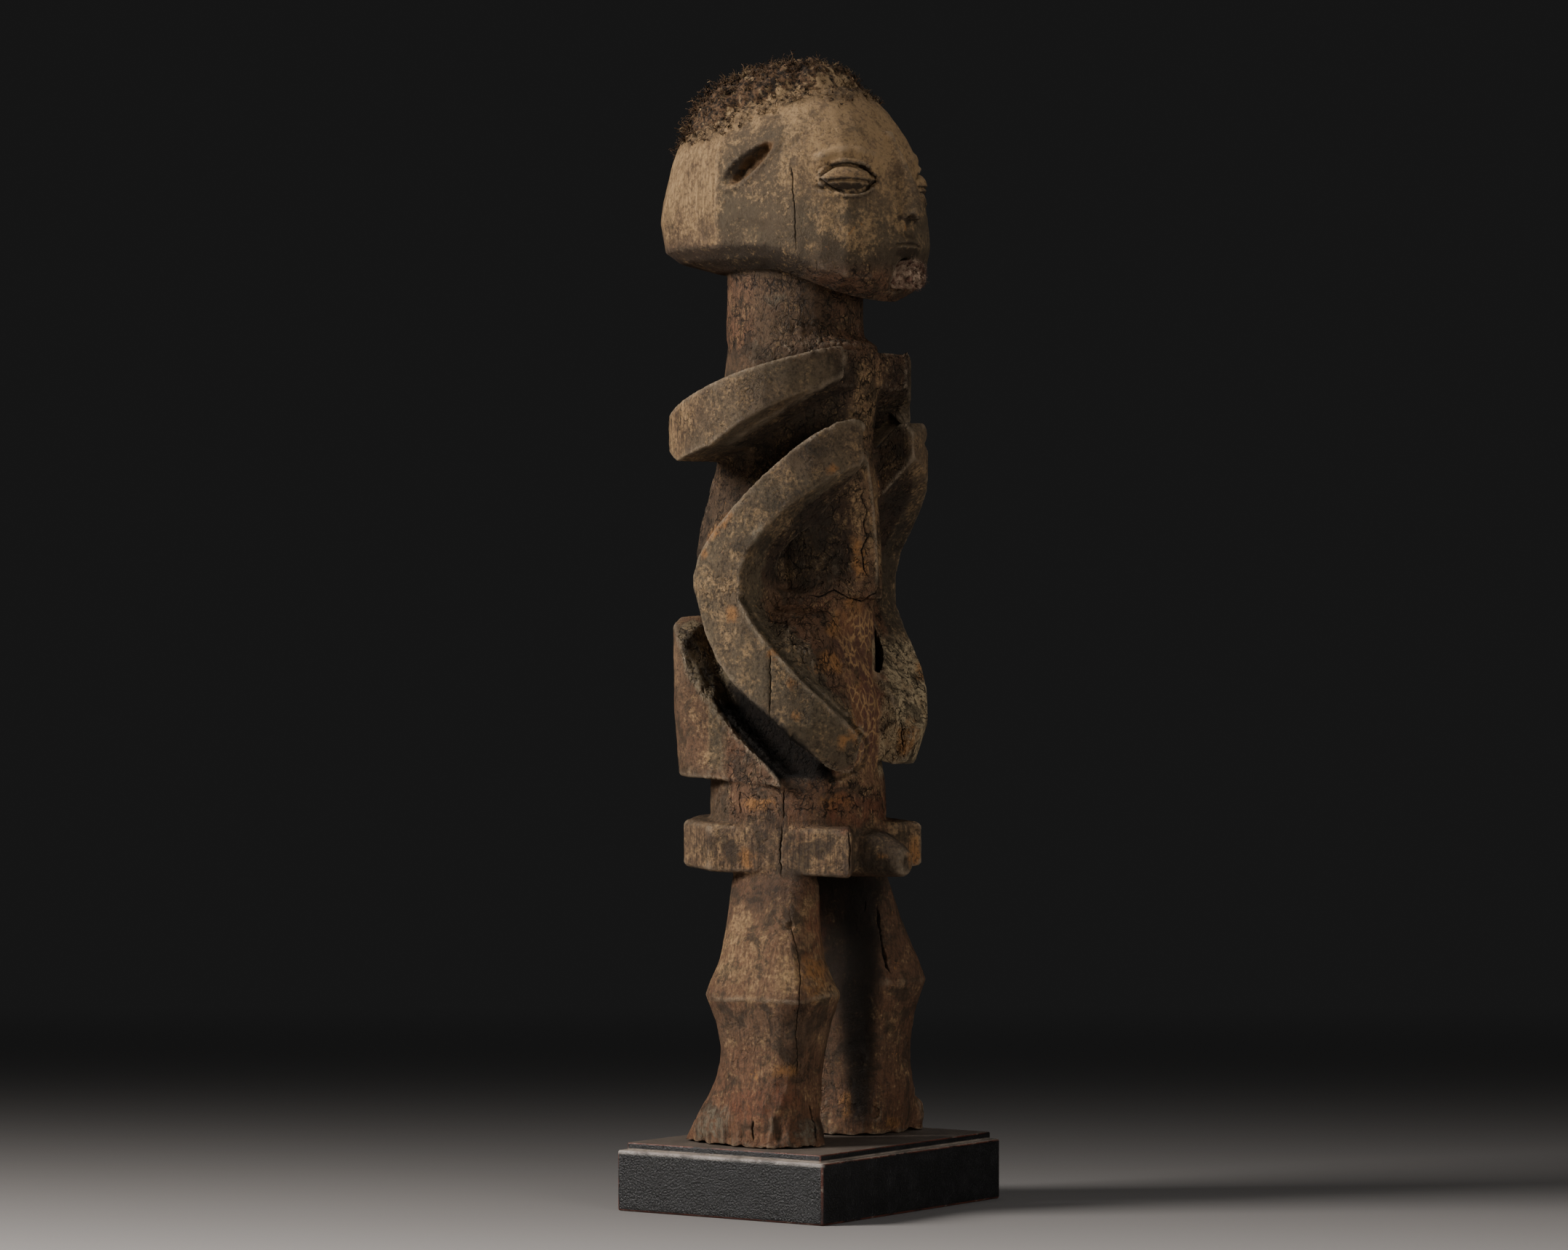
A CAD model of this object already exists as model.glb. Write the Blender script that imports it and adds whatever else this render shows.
import math
import random
from itertools import product

import bmesh
import bpy
import numpy as np
from mathutils import Matrix, Vector
from mathutils.bvhtree import BVHTree
from mathutils.kdtree import KDTree


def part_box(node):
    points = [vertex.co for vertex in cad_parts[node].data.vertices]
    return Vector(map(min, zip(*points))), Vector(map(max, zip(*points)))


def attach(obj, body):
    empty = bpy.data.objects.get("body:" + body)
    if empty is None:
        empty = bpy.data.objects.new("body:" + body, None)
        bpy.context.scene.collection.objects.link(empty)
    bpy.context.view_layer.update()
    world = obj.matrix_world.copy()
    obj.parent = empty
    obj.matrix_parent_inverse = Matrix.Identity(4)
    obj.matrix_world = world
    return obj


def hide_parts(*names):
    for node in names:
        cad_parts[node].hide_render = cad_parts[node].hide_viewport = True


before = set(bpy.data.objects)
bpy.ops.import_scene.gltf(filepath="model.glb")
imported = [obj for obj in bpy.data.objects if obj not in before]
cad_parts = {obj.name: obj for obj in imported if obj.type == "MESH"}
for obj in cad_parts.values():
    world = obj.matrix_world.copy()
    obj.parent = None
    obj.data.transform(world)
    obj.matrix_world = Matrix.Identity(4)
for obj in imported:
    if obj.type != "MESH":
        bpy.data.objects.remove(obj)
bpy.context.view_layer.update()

# Lengths are in metres: x runs towards the figure's left, y towards its back and z up.
MM = 0.001
random.seed(11)


def placed(name, data):
    """A new object in the scene."""
    made = bpy.data.objects.new(name, data)
    bpy.context.scene.collection.objects.link(made)
    return made


# Camera, backdrop and lamps

PHOTO_WIDTH = 2156
FOCAL_PX = 7500
CAMERA_TURN = math.radians(-55)
CAMERA_PLACE = (-2.3832, -1.6514, 0.308)
RIGHTWARD = np.array([math.cos(CAMERA_TURN), math.sin(CAMERA_TURN), 0])
FORWARD = np.array([-math.sin(CAMERA_TURN), math.cos(CAMERA_TURN), 0])
BACKDROP_GLOW = 0.0118


def make_camera():
    data = bpy.data.cameras.new("Camera")
    data.sensor_width = 36
    data.lens = data.sensor_width * FOCAL_PX / PHOTO_WIDTH
    data.clip_end = 50
    camera = placed("Camera", data)
    camera.location = CAMERA_PLACE
    camera.rotation_euler = (math.pi / 2, 0, CAMERA_TURN)
    bpy.context.scene.camera = camera


def seen_from_camera(rightward, forward, up):
    """A place given by how far it is right of, beyond and above the object's foot."""
    return Vector(RIGHTWARD * rightward + FORWARD * forward + (0, 0, up))


def make_lamp(name, place, aim, size, power, colour):
    data = bpy.data.lights.new(name, "AREA")
    data.shape = "RECTANGLE"
    data.size, data.size_y = size
    data.energy = power
    data.color = colour
    lamp = placed(name, data)
    lamp.location = place
    lamp.rotation_euler = (Vector(aim) - place).to_track_quat("-Z", "Y").to_euler()


def make_studio():
    warm, white = (1.0, 0.97, 0.93), (1, 1, 1)
    make_lamp("KeyLamp", seen_from_camera(-1.9, -0.48, 1.35), (0, 0, 0.33), (0.7, 1.0), 92, warm)
    make_lamp("FillLamp", seen_from_camera(1.25, -2.1, 0.5), (0, 0, 0.25), (1.2, 1.2), 30, warm)
    make_lamp("TopLamp", seen_from_camera(0.1, 0.2, 1.9), (0, 0, 0.33), (0.9, 0.9), 6, white)
    world = bpy.data.worlds.new("Studio")
    bpy.context.scene.world = world
    world.use_nodes = True
    background = world.node_tree.nodes["Background"]
    background.inputs["Color"].default_value = (1, 1, 1, 1)
    background.inputs["Strength"].default_value = BACKDROP_GLOW


# Node shorthand

class Shader:
    """A Principled material, with short calls for its nodes."""

    def __init__(self, name):
        self.material = bpy.data.materials.new(name)
        self.material.use_nodes = True
        self.nodes = self.material.node_tree.nodes
        self.links = self.material.node_tree.links
        self.surface = self.nodes["Principled BSDF"]
        self.place = self.node("ShaderNodeTexCoord").outputs["Object"]

    def node(self, kind, inputs=None, **settings):
        made = self.nodes.new(kind)
        for key, value in settings.items():
            setattr(made, key, value)
        return self.fill(made, inputs or {})

    def fill(self, node, inputs):
        """Links a node's inputs to sockets, or sets them to numbers or colours."""
        for key, value in inputs.items():
            socket = node.inputs[key]
            if isinstance(value, bpy.types.NodeSocket):
                self.links.new(value, socket)
            else:
                socket.default_value = (*value, 1) if socket.type == "RGBA" else value
        return node

    def stretched(self, along):
        """The place, scaled down along the upright grain."""
        inputs = {0: self.place, 1: (1, 1, along)}
        return self.node("ShaderNodeVectorMath", inputs, operation="MULTIPLY").outputs[0]

    def noise(self, size, detail=3.0, rough=0.55, place=None, twist=0.0):
        """Noise whose features measure about size metres, from 0 to 1."""
        inputs = {"Vector": place or self.place, "Scale": 1 / size, "Detail": detail, "Roughness": rough,
                  "Distortion": twist}
        return self.node("ShaderNodeTexNoise", inputs).outputs["Fac"]

    def cracks(self, size, place=None):
        """How far a point is from the edge of its cell."""
        inputs = {"Vector": place or self.place, "Scale": 1 / size}
        return self.node("ShaderNodeTexVoronoi", inputs, feature="DISTANCE_TO_EDGE").outputs["Distance"]

    def wobbled(self, place, size, reach):
        """A place shaken about by noise, so that what is drawn at it goes ragged."""
        shake = self.node("ShaderNodeTexNoise", {"Vector": self.place, "Scale": 1 / size, "Detail": 4.0})
        inputs = {0: shake.outputs["Color"], 1: (reach, reach, reach), 2: place}
        return self.node("ShaderNodeVectorMath", inputs, operation="MULTIPLY_ADD").outputs[0]

    def ramp(self, value, low, high, to_low=0.0, to_high=1.0, kind="SMOOTHSTEP"):
        """Maps low..high to to_low..to_high, with soft ends unless its kind says otherwise."""
        inputs = {"Value": value, "From Min": low, "From Max": high, "To Min": to_low, "To Max": to_high}
        return self.node("ShaderNodeMapRange", inputs, interpolation_type=kind).outputs["Result"]

    def maths(self, operation, a, b):
        return self.node("ShaderNodeMath", {0: a, 1: b}, operation=operation).outputs[0]

    def times(self, a, b):
        return self.maths("MULTIPLY", a, b)

    def plus(self, first, *others):
        for other in others:
            first = self.maths("ADD", first, other)
        return first

    def rest(self, a):
        """What is left of 1."""
        return self.maths("SUBTRACT", 1.0, a)

    def mix(self, amount, a, b):
        inputs = {0: amount, 6: a, 7: b}
        return self.node("ShaderNodeMix", inputs, data_type="RGBA", clamp_factor=True).outputs[2]

    def layered(self, colour, layers):
        """A colour with others laid over it in turn, each by its own amount."""
        for amount, tint in layers:
            colour = self.mix(amount, colour, tint)
        return colour

    def kept(self, name):
        """A value kept on the mesh's points."""
        return self.node("ShaderNodeAttribute", attribute_name=name).outputs["Fac"]

    def bump(self, height, depth, below=None, strength=1.0):
        inputs = {"Height": height, "Distance": depth, "Strength": strength}
        if below:
            inputs["Normal"] = below
        return self.node("ShaderNodeBump", inputs).outputs["Normal"]

    def finish(self, colour, roughness, normal, specular):
        self.fill(self.surface, {"Base Color": colour, "Roughness": roughness, "Normal": normal,
                                 "Specular IOR Level": specular})
        return self.material


# Noise on arrays of points

PRIMES = np.array([374761393, 668265263, 2246822519, 3266489917], np.uint64)
LOW_BITS = np.uint64(0xFFFFFFFF)


def corner_value(cell, seed):
    """A fixed random number from 0 to 1 for each whole-numbered cell."""
    h = np.sum(cell.astype(np.int64).astype(np.uint64) * PRIMES[:3], axis=1)
    h = (h + np.uint64(seed * int(PRIMES[3]))) & LOW_BITS
    for shift, prime in zip((15, 13), PRIMES[2:]):
        h = ((h ^ (h >> np.uint64(shift))) * prime) & LOW_BITS
    return (h ^ (h >> np.uint64(16))).astype(float) / float(LOW_BITS)


def noise(points, size, seed, octaves=1):
    """Smooth noise from -1 to 1 with features of about size, in the points' own unit."""
    total = np.zeros(len(points))
    for octave in range(octaves):
        q = points * (2 ** octave) / np.asarray(size, float)
        cell = np.floor(q)
        t = q - cell
        t = t * t * (3 - 2 * t)
        layer = np.zeros(len(points))
        for corner in product((0, 1), repeat=3):
            weight = np.prod(np.where(corner, t, 1 - t), axis=1)
            layer += weight * corner_value(cell + corner, seed + octave)
        total += (2 * layer - 1) * 0.5 ** octave
    return total / (2 - 2 * 0.5 ** octaves)


def cells(points, size, seed):
    """Distances to the two nearest of scattered seeds, and the nearest one's number."""
    q = points / np.asarray(size, float)
    base = np.floor(q)
    near = np.full(len(points), 9.0)
    second = near.copy()
    number = np.zeros(len(points))
    for beside in product((-1, 0, 1), repeat=3):
        cell = base + beside
        seeds = cell + np.stack([corner_value(cell, seed + n) for n in range(3)], axis=1)
        far = np.linalg.norm(q - seeds, axis=1)
        closer = far < near
        second = np.where(closer, near, np.minimum(second, far))
        number = np.where(closer, corner_value(cell, seed + 3), number)
        near = np.where(closer, far, near)
    return near, second, number


def step(low, high, value):
    """0 below low, 1 above high, and soft between them; low may be the greater."""
    t = np.clip((value - low) / (high - low), 0, 1)
    return t * t * (3 - 2 * t)


def between(value, low, high, soft):
    """1 from low to high, fading out over soft on either side."""
    return step(low - soft, low + soft, value) * step(high + soft, high - soft, value)


# Mesh shorthand

def read(items, what, width=3, kind=float):
    """What each of a mesh's points, edges or faces says, one row for each."""
    flat = np.empty(len(items) * width, kind)
    items.foreach_get(what, flat)
    return flat.reshape(-1, width)


def points_of(mesh):
    return read(mesh.vertices, "co")


def normals_of(mesh):
    return read(mesh.vertex_normals, "vector")


def edges_of(mesh):
    return read(mesh.edges, "vertices", 2, np.int32)


def tree_of(mesh):
    return BVHTree.FromPolygons([v.co for v in mesh.vertices], [tuple(f.vertices) for f in mesh.polygons])


def place_points(mesh, points):
    mesh.vertices.foreach_set("co", points.ravel())
    mesh.update()


def blurred(values, edges, rounds, share=0.5):
    """Values on points, each moved towards its neighbours' mean a number of times."""
    a, b = edges[:, 0], edges[:, 1]
    count = len(values)
    degree = np.maximum(np.bincount(a, minlength=count) + np.bincount(b, minlength=count), 1)
    out = values.copy()
    for _ in range(rounds):
        means = []
        for column in out.reshape(count, -1).T:
            total = np.bincount(a, weights=column[b], minlength=count)
            total += np.bincount(b, weights=column[a], minlength=count)
            means.append(total / degree)
        out = out + share * (np.stack(means, axis=1).reshape(out.shape) - out)
    return out


def settled(obj):
    """The object's mesh with its modifiers applied."""
    bpy.context.view_layer.update()
    made = bpy.data.meshes.new_from_object(obj.evaluated_get(bpy.context.evaluated_depsgraph_get()))
    obj.modifiers.clear()
    old = obj.data
    obj.data = made
    bpy.data.meshes.remove(old)
    return made


def mesh_from(form, name):
    """A new mesh of a form, which is then freed."""
    mesh = bpy.data.meshes.new(name)
    form.to_mesh(mesh)
    form.free()
    return mesh


def copy_of(node, name):
    """A new object with the merged mesh of a CAD node."""
    form = bmesh.new()
    form.from_mesh(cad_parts[node].data)
    bmesh.ops.remove_doubles(form, verts=form.verts, dist=2e-5)
    return placed(name, mesh_from(form, name))


def remeshed(piece, voxel):
    """The piece as an even net of small quads."""
    net = piece.modifiers.new("Net", "REMESH")
    net.mode = "VOXEL"
    net.voxel_size = voxel
    return settled(piece)


def thinned(piece, triangles):
    """The piece with flat stretches simplified until it has about so many triangles."""
    have = sum(len(p.vertices) - 2 for p in piece.data.polygons)
    if have > triangles:
        thin = piece.modifiers.new("Thin", "DECIMATE")
        thin.ratio = triangles / have
        settled(piece)


def keep(mesh, name, values):
    """Keeps a value on each point of a mesh for its material to read."""
    mesh.attributes.new(name, "FLOAT", "POINT").data.foreach_set("value", values.astype(np.float32))


def dress(piece, node, material):
    piece.data.materials.append(material)
    piece.data.polygons.foreach_set("use_smooth", [True] * len(piece.data.polygons))
    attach(piece, "root")
    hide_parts(node)


# Carved figure

FIGURE_CELL = 1.1 * MM
FIGURE_TRIANGLES = 196000
SOFTENING_ROUNDS = 12
COARSE_CELL, RAY_COUNT, LONGEST_RAY = 4.5 * MM, 14, 55 * MM

# Marks on the side towards the camera lie at points given in millimetres: rightward of the figure's middle
# as the camera sees it, and up. foremost is how far forward of the middle their wood lies at least.

# Drying cracks: the points each runs through, its half width, its depth, and foremost.
CRACKS = {
    "head": ([(-10.6, 549), (-9.6, 541), (-9.0, 528), (-8.6, 515), (-8.1, 501)], 0.16, 0.9, 20),
    "forearm": ([(-21.4, 295), (-21.0, 281), (-21.7, 260)], 0.2, 1.2, 48),
    "hip ring": ([(-15.7, 202), (-16.4, 194), (-15.7, 176)], 0.22, 1.8, 30),
    "ring corner": ([(19.5, 201), (20.3, 191), (20.0, 179)], 0.3, 1.0, 30),
    "waist": ([(-14.2, 223), (-14.5, 206)], 0.22, 1.0, 20),
    "waist side": ([(-37.5, 221), (-37.2, 208)], 0.22, 1.0, 10),
    "right leg": ([(-11.9, 162), (-10, 150), (-8.8, 144), (-6.2, 133), (-5.8, 123), (-6.2, 111), (-8.1, 95),
                   (-6.9, 76), (-9.6, 46)], 0.14, 1.0, 30),
    "left thigh": ([(36.5, 159), (37.3, 149), (38.8, 139), (40.3, 128), (42.7, 123)], 0.5, 2.6, -60),
    "left thigh top": ([(29.1, 161), (28.7, 155)], 0.3, 1.0, -60),
    "chest": ([(28.2, 381), (26.5, 375), (30, 369), (28, 362), (30, 354), (27, 347), (28, 337), (32, 330)],
              0.4, 1.4, 10),
    "under the chest": ([(-4, 324), (4, 323), (12, 326), (20, 322), (27, 320.5), (34, 325), (37, 330)],
                        0.34, 1.3, 0),
    "left hand": ([(47.3, 266), (47.7, 254), (48.1, 240)], 0.3, 1.3, -60),
    "foot": ([(-31, 51), (-30, 40)], 0.4, 1.6, 0),
    "foot front": ([(-2, 58), (2, 48), (3, 38)], 0.35, 1.4, 30),
}

# Edges that hands have polished bright: the points each runs through, and foremost.
WORN_EDGES = {
    "forearm": ([(-38, 321), (-31.8, 309.5), (-20.3, 294.7), (-7.2, 280), (5.9, 267), (17.4, 257),
                 (26.4, 246.5)], 30),
    "collar end": ([(17.4, 452), (18.5, 442)], 30),
    "arm end": ([(20, 416.2), (26, 413.5), (30, 406), (29, 399.5), (25, 395)], 38),
    "collar": ([(-43.2, 403), (-15.4, 420), (4.3, 431.5), (18.2, 440.5)], 30),
    "right knee": ([(-53, 112), (-37, 113), (-5.3, 112), (14.5, 116)], 0),
    "wedge": ([(-66.6, 298), (-56.7, 275), (-43.5, 255), (-27, 237), (-15.4, 224.5)], 0),
}

# Stains and worn spots: middle, half width, half height, how far its top leans to the right.
SPOTS = {
    "ochre": [(12, 389, 2, 2, 0), (-48, 359, 3, 7, 0.7), (-56, 345, 2, 3, 0), (-41, 313, 2.5, 4, -0.3),
              (-10.5, 277, 2.5, 3, 0), (59, 283, 3, 5, 0), (51, 248, 6, 9, 0.3), (25.5, 341, 4, 12, -0.1),
              (11, 288, 7, 6, 0), (19, 311, 8, 11, 0.4), (-28, 214, 9, 3, 0.1), (12, 215, 9, 4, 0),
              (55, 188, 4, 8, 0), (38, 187, 3, 1.5, 0), (-34, 186, 3, 5, 0), (24, 262, 4, 16, 0),
              (-20, 292, 3, 3, 0), (-8, 261, 3, 3, 0), (16, 247, 2.5, 4, 0), (1, 124, 6, 11, 0),
              (19, 52, 3, 6, 0), (44, 42, 4, 3, 0), (-14, 76, 7, 3, 0)],
    "dark": [(-27, 350, 16, 6, 1.1), (-15, 372, 18, 5, 1.3), (0, 400, 14, 8, 0.6), (-6, 100, 7, 16, 0.1),
             (-20, 166, 16, 8, 0), (4, 352, 16, 26, 0), (48, 372, 7, 34, 0), (33, 181, 16, 5, 0),
             (0, 44, 10, 6, 0)],
    "grey": [(-28.5, 355, 3, 4, 0.5), (-51, 48, 8, 10, 0.4), (-2, 43, 6, 6, 0), (-19.5, 480, 6, 2.5, 0.3)],
    "red": [(-33, 57, 13, 9, 0), (-14, 64, 8, 9, 0), (33, 268, 7, 24, 0), (20, 210, 12, 10, 0),
            (3, 150, 7, 18, 0), (36, 210, 10, 10, 0)],
}


def seen(points):
    """Millimetres rightward, up and forward of the figure's foot, as the camera sees points."""
    return points @ RIGHTWARD / MM, points[:, 2] / MM, -(points @ FORWARD) / MM


class Skin:
    """A mesh's points in metres, in millimetres, and as the camera sees them, and their normals."""

    def __init__(self, mesh):
        self.points, self.normals = points_of(mesh), normals_of(mesh)
        self.p = self.points / MM
        self.across, self.up, self.fore = seen(self.points)
        self.wander = noise(self.p, (6, 6, 5), 5, 2) * 0.7 + noise(self.p, (4, 4, 1.6), 6) * 0.3

    def towards_camera(self, foremost):
        return (self.normals @ FORWARD < 0.05) & (self.fore > foremost)

    def off_line(self, path, foremost):
        """How far points are from a marked line that wanders a little, and how far along it from 0 to 1."""
        best = np.full(len(self.p), 99.0)
        along = np.zeros(len(self.p))
        spans = len(path) - 1
        for i, ((x0, z0), (x1, z1)) in enumerate(zip(path, path[1:])):
            run, rise = x1 - x0, z1 - z0
            right, above = self.across - x0, self.up - z0
            t = np.clip((right * run + above * rise) / (run ** 2 + rise ** 2), 0, 1)
            dx, dz = right - t * run, above - t * rise
            far = np.abs(np.sign(dx * rise - dz * run) * np.hypot(dx, dz) + self.wander)
            along = np.where(far < best, (i + t) / spans, along)
            best = np.minimum(best, far)
        return np.where(self.towards_camera(foremost), best, 99.0), along


def crack_depth(skin):
    """How deep the drying cracks cut at each point, in millimetres."""
    depth = np.zeros(len(skin.p))
    uneven = 1 + 0.6 * noise(skin.p, (9, 9, 4), 8)
    for path, half, deep, foremost in CRACKS.values():
        off, along = skin.off_line(path, foremost)
        ends = np.minimum(step(0, 0.2, along), step(1, 0.8, along)) * 0.8 + 0.2
        depth = np.maximum(depth, deep * ends * step(half * (0.4 + ends) * uneven + 0.14, 0.05, off))
    return depth


def worn_edge(skin):
    """How much each point belongs to an edge polished by hands, from 0 to 1."""
    worn = np.zeros(len(skin.p))
    for path, foremost in WORN_EDGES.values():
        off, along = skin.off_line(path, foremost)
        ends = np.minimum(step(0, 0.1, along), step(1, 0.9, along)) * 0.6 + 0.4
        worn = np.maximum(worn, ends * step(1.7, 0.4, off))
    worn = worn * (0.35 + 0.65 * step(-0.3, 0.3, noise(skin.p, 7, 13, 2)))
    x, y, z = skin.p.T
    keel = step(1.9, 0.6, np.abs(x)) * between(z, 331, 398, 5) * (y < -30)
    return np.maximum(worn, keel)


def in_pit(skin):
    """1 in the deep cut between the wedge's front edge and the right forearm, fading upwards."""
    across, up = skin.across, skin.up
    left = np.interp(up, [224, 237, 255, 275, 298], [-16, -27, -43.5, -56.7, -66.6])
    right = np.interp(up, [226, 231, 244, 253, 270, 290, 310], [14, 11, -2, -12, -32, -50, -58.5])
    inside = step(left, left + 1.8, across) * step(right + 0.8, right - 1.0, across)
    return inside * between(up, 226, 306, 3) * skin.towards_camera(0)


def beside_forearm(skin):
    """1 in the crease where the right arm's front edge meets the belly and the chest."""
    path = [(across + 2.6, up + 0.6) for across, up in WORN_EDGES["forearm"][0]]
    path += [(30, 241), (27.5, 234), (20, 229.5), (10, 226)]
    arm_end = [(20, 419.6), (27.5, 417), (33, 409), (32.5, 399), (27.5, 392)]
    crease = step(1.8, 0.4, skin.off_line(path, 20)[0])
    return np.maximum(crease, 0.8 * step(2.2, 0.5, skin.off_line(arm_end, 20)[0]))


def spots(skin, kind):
    """How strongly the spots of one kind stain each point, from 0 to 1."""
    ragged = 0.7 * noise(skin.p, 5, 9, 3)
    found = np.zeros(len(skin.p))
    for middle, height, wide, high, lean in SPOTS[kind]:
        dz = skin.up - height
        off = np.hypot((skin.across - middle - lean * dz) / wide, dz / high) + ragged
        found = np.maximum(found, step(1.25, 0.65, off))
    return found * skin.towards_camera(-90)


# Eyes and ears, in millimetres and radians. The eyes turn outwards with the head.
EYE = {"x": 33, "y": -47, "z": 541, "turn": 0.62, "half_width": 17, "half_height": 7.6}
EAR = {"x": 35, "y": 2, "z": 550, "half_length": 17.5, "half_width": 5.6, "tilt": -0.66}


def eye_place(p):
    """Place across and above the nearer eye's middle, in millimetres, and whether it is near its skin."""
    c, t = math.cos(EYE["turn"]), math.sin(EYE["turn"])
    x, y = np.abs(p[:, 0]) - EYE["x"], p[:, 1] - EYE["y"]
    return x * c + y * t, p[:, 2] - EYE["z"], np.abs(-x * t + y * c) < 14


def ear_place(p):
    """How far out of an ear's middle a point lies, as a share of the hollow's own size."""
    y, z = p[:, 1] - EAR["y"], p[:, 2] - EAR["z"]
    c, t = math.cos(EAR["tilt"]), math.sin(EAR["tilt"])
    along, across = y * c + z * t, -y * t + z * c
    off = np.hypot(along / EAR["half_length"], across / EAR["half_width"])
    return np.where(np.abs(p[:, 0]) > EAR["x"], off, 9.0)


def line(off, half):
    """1 on a line and 0 beyond twice its half width."""
    return step(2 * half, 0.4 * half, np.abs(off))


def face_relief(p):
    """How far the lids, brows, nostrils, lips and ear rims raise or sink each point, in millimetres."""
    across, above, here = eye_place(p)
    lid = EYE["half_height"] * (1 - np.clip(np.abs(across) / EYE["half_width"], 0, 1) ** 2.2)
    edge = np.where(np.abs(across) < EYE["half_width"] - 1, np.abs(above) - lid, 9.0)
    raised = here * (0.9 * line(edge - 1.6, 1.0) - 1.5 * line(edge, 0.6))
    raised += here * 0.7 * step(0, -3, edge)
    slit = line(above + 0.8 + 0.006 * across ** 2, 0.5) * (np.abs(across) < EYE["half_width"] - 5)
    raised -= here * 1.5 * slit
    brow = above - 15 + 0.012 * (across + 2) ** 2
    raised += here * 1.1 * line(brow, 1.7) * step(20, 15, np.abs(across))
    x, y, z = p.T
    front = y < -48
    raised -= front * 1.6 * step(2.6, 1.0, np.hypot(np.abs(x) - 4.6, z - 521.5))
    crease = np.abs(x) - 9 - 0.5 * (521 - z)
    raised -= front * 0.7 * line(crease, 0.8) * between(z, 509, 522, 3)
    raised -= front * 1.2 * line(z - 508 + 0.01 * x ** 2, 0.5) * step(12, 10, np.abs(x))
    raised += front * 0.6 * (line(z - 511.5, 1.4) + line(z - 504.5, 1.5)) * step(11, 8, np.abs(x))
    raised -= front * 0.5 * line(x, 1.2) * between(z, 512, 519, 1)
    ear = ear_place(p)
    raised += 0.7 * line((ear - 1.08) * 8, 1.2) - 2.2 * step(0.95, 0.6, ear)
    return raised + 1.3 * noise(p, 3.4, 12, 2) * step(1.0, 0.8, ear)


def refine_for_detail(mesh):
    """Halves the net's cells twice along the drying cracks and once on the face's fine lines."""
    for reach, on_face in ((2.4, True), (1.2, False)):
        skin = Skin(mesh)
        close = np.zeros(len(skin.p), bool)
        for path, half, _, foremost in CRACKS.values():
            close |= skin.off_line(path, foremost)[0] < reach + half
        if on_face:
            x, y, z = skin.p.T
            across, above, here = eye_place(skin.p)
            close |= here & (np.hypot(across / 19, above / 10) < 1)
            close |= (y < -48) & (np.abs(x) < 15) & (np.abs(z - 512) < 12)
            close |= ear_place(skin.p) < 1.3
        form = bmesh.new()
        form.from_mesh(mesh)
        chosen = [e for e in form.edges if close[e.verts[0].index] and close[e.verts[1].index]]
        bmesh.ops.subdivide_edges(form, edges=chosen, cuts=1, use_grid_fill=True)
        form.to_mesh(mesh)
        form.free()


def carved_relief(skin):
    """How far tool marks, grain, crackle and wear raise each point, in millimetres."""
    p = skin.p
    x, y, z = p.T
    upright = 1 - step(0.6, 0.85, np.abs(skin.normals[:, 2]))
    head = step(488, 500, z)
    raised = 0.35 * noise(p, 38, 21, 2) * (1 - 0.5 * head)
    near = cells(p + 2.5 * noise(p, 12, 3)[:, None], (9, 9, 13), 31)[0]
    raised += 0.2 * (near - 0.5) * upright
    weathered = np.maximum(step(230, 60, z), between(z, 176, 204, 2)) * 0.8 + 0.2
    raised += 0.12 * noise(p, (1.9, 1.9, 26), 41, 2) * weathered * upright * (1 - head)
    raised += 0.16 * noise(p, 3.0, 51, 2)
    scored = between(z, 388, 440, 5) * step(6, 26, y) * step(56, 62, np.hypot(x, y))
    raised += 0.2 * scored * noise(p, (1.7, 1.7, 40), 55, 2)
    flaked = step(0.0, 0.35, noise(p, 24, 57, 2)) * between(z, 200, 470, 10) * (np.hypot(x, y) < 60)
    near, second, number = cells(p + 1.6 * noise(p, 3.5, 4, 2)[:, None], (5, 5, 8), 33)
    raised += flaked * (0.45 * (number - 0.5) - 0.6 * step(0.15, 0.02, second - near))
    foot = step(64, 40, z)
    split = noise(p, (5.0, 5.0, 70), 61, 2)
    raised -= foot * (1.3 * step(0.15, 0.6, split) + step(44, 36, z) * (0.8 + 1.1 * noise(p, 5, 71)))
    chipped = step(112, 70, z) * (x > 0) + 0.5 * step(80, 50, z)
    raised -= 0.8 * chipped * step(0.25, 0.55, noise(p, (5, 5, 7), 77, 2))
    knot = skin.towards_camera(30) * step(2.6, 1.2, np.hypot(skin.across + 11, z - 151))
    groove = skin.towards_camera(-60) * step(4.5, 0, np.abs(skin.across - 37 - 0.1 * (150 - z)))
    groove = groove * between(z, 126, 160, 6) * (x > 0)
    hole = step(2.0, 0.8, np.hypot(x + 1, z - 184.5)) * step(-58, -61, y)
    raised += 0.5 * worn_edge(skin) - 1.3 * beside_forearm(skin)
    facet = head * step(2.2, 0.4, np.abs(y - 23)) * step(505, 512, z) * step(566, 556, z)
    return raised + 0.5 * facet - 1.6 * knot - 1.4 * groove - 1.4 * hole + face_relief(p) * head


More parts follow.
